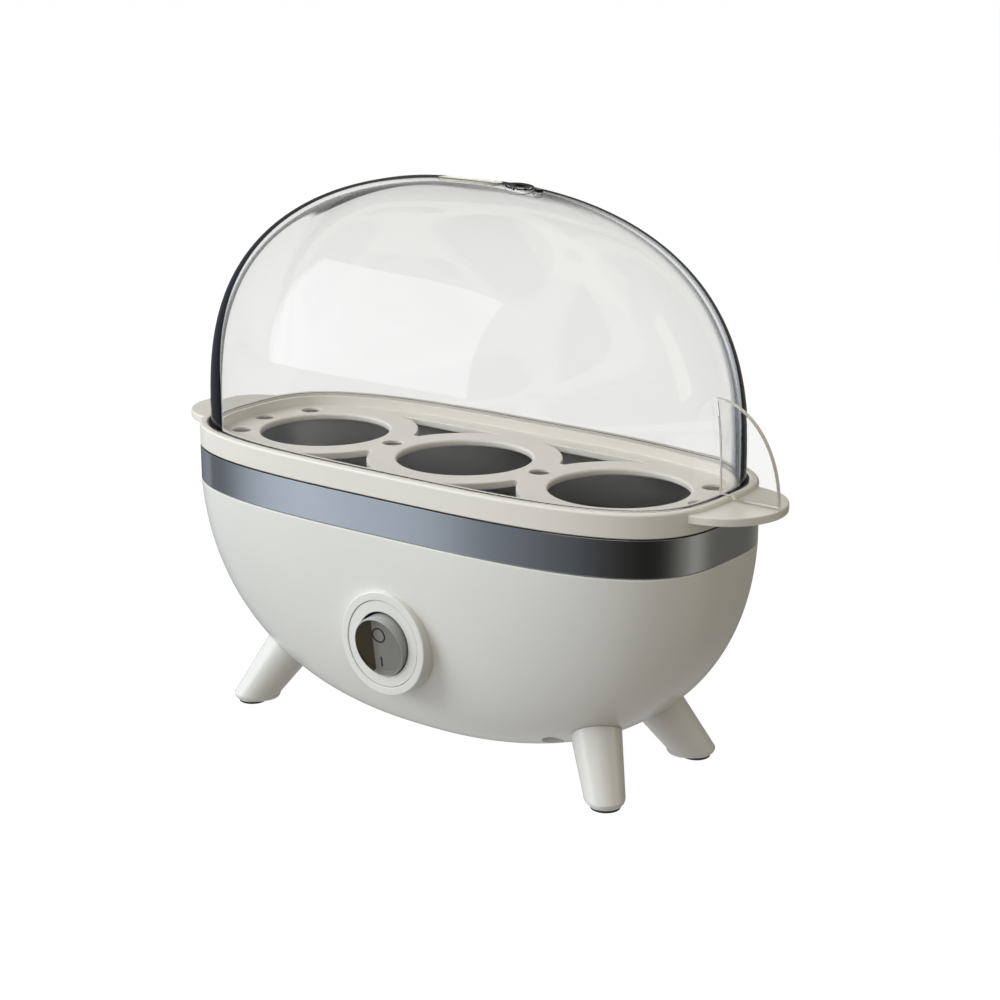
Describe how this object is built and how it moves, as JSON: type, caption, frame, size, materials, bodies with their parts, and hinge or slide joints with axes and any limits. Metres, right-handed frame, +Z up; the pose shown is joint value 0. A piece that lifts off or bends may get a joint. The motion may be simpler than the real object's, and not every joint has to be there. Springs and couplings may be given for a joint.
{
  "type": "electric egg cooker",
  "caption": "Low boat-shaped steam egg cooker on splayed legs, with a metal band, an egg tray with end ears, a tall clear lid and a round rocker switch.",
  "frame": {"origin": "on the table under the middle of the cooker", "axes": "+X along the row of eggs, -Y towards the switch side, +Z up"},
  "size_m": [0.207, 0.0874, 0.163],
  "materials": {
    "body_shell": "glossy warm off-white moulded plastic",
    "tray_plastic": "satin warm beige-white food plastic",
    "steel_band": "dark bright-rolled stainless strip",
    "pan_steel": "drawn stainless steel",
    "clear_lid": "clear polished polycarbonate",
    "smoked_plastic": "smoked glossy plastic",
    "foot_rubber": "matt dark rubber",
    "silicone": "matt silicone",
    "zinc_steel": "zinc-plated steel",
    "brass": "bright brass",
    "phenolic": "black phenolic",
    "nylon": "natural nylon",
    "lead_live": "silicone-sheathed wire",
    "lead_neutral": "silicone-sheathed wire"
  },
  "bodies": {
    "base": {"hull_shell": "body_shell", "trim_band": "steel_band", "switch_bezel": "body_shell", "leg_front_left": "body_shell", "leg_front_right": "body_shell", "leg_rear_left": "body_shell", "leg_rear_right": "body_shell", "heating_pan": "pan_steel", "heating_element": "pan_steel", "thermal_fuse": "pan_steel", "switch_housing": "smoked_plastic", "cord_gland": "foot_rubber", "foot_pad_front_left": "foot_rubber", "foot_pad_front_right": "foot_rubber", "foot_pad_rear_left": "foot_rubber", "foot_pad_rear_right": "foot_rubber", "pan_seal": "silicone", "leg_screw_front_left": "zinc_steel", "leg_screw_front_right": "zinc_steel", "leg_screw_rear_left": "zinc_steel", "leg_screw_rear_right": "zinc_steel", "element_strap_left": "zinc_steel", "element_strap_right": "zinc_steel", "pan_stud_left": "zinc_steel", "pan_stud_right": "zinc_steel", "base_screw_left": "zinc_steel", "base_screw_right": "zinc_steel", "thermostat_plate": "zinc_steel", "thermostat_stud_front": "zinc_steel", "thermostat_stud_rear": "zinc_steel", "thermostat_nut_front": "zinc_steel", "thermostat_nut_rear": "zinc_steel", "fuse_clip": "zinc_steel", "clamp_screw_left": "zinc_steel", "clamp_screw_right": "zinc_steel", "block_screw": "zinc_steel", "pan_standoff_left": "brass", "pan_standoff_right": "brass", "switch_tab_lower": "brass", "switch_tab_upper": "brass", "terminal_screw_left": "brass", "terminal_screw_right": "brass", "thermostat": "phenolic", "cord_clamp": "nylon", "terminal_block": "nylon", "lead_supply_to_switch": "lead_live", "lead_switch_to_fuse": "lead_live", "lead_fuse_to_thermostat": "lead_live", "lead_thermostat_to_element": "lead_live", "lead_element_to_supply": "lead_neutral"},
    "rocker": {"switch_rocker": "smoked_plastic"},
    "tray": {"egg_tray": "tray_plastic"},
    "lid": {"lid": "clear_lid"}
  },
  "joints": [
    {"name": "tray_lift", "type": "slide", "parent": "base", "child": "tray", "axis": [0, 0, 1], "range_m": [0, 0.06]},
    {"name": "lid_lift", "type": "slide", "parent": "tray", "child": "lid", "axis": [0, 0, 1], "range_m": [0, 0.09]},
    {"name": "switch_rock", "type": "hinge", "parent": "base", "child": "rocker", "pos_m": [0.002, -0.0376, 0.0381], "axis": [-1, 0, 0], "range_deg": [0, 16]}
  ]
}
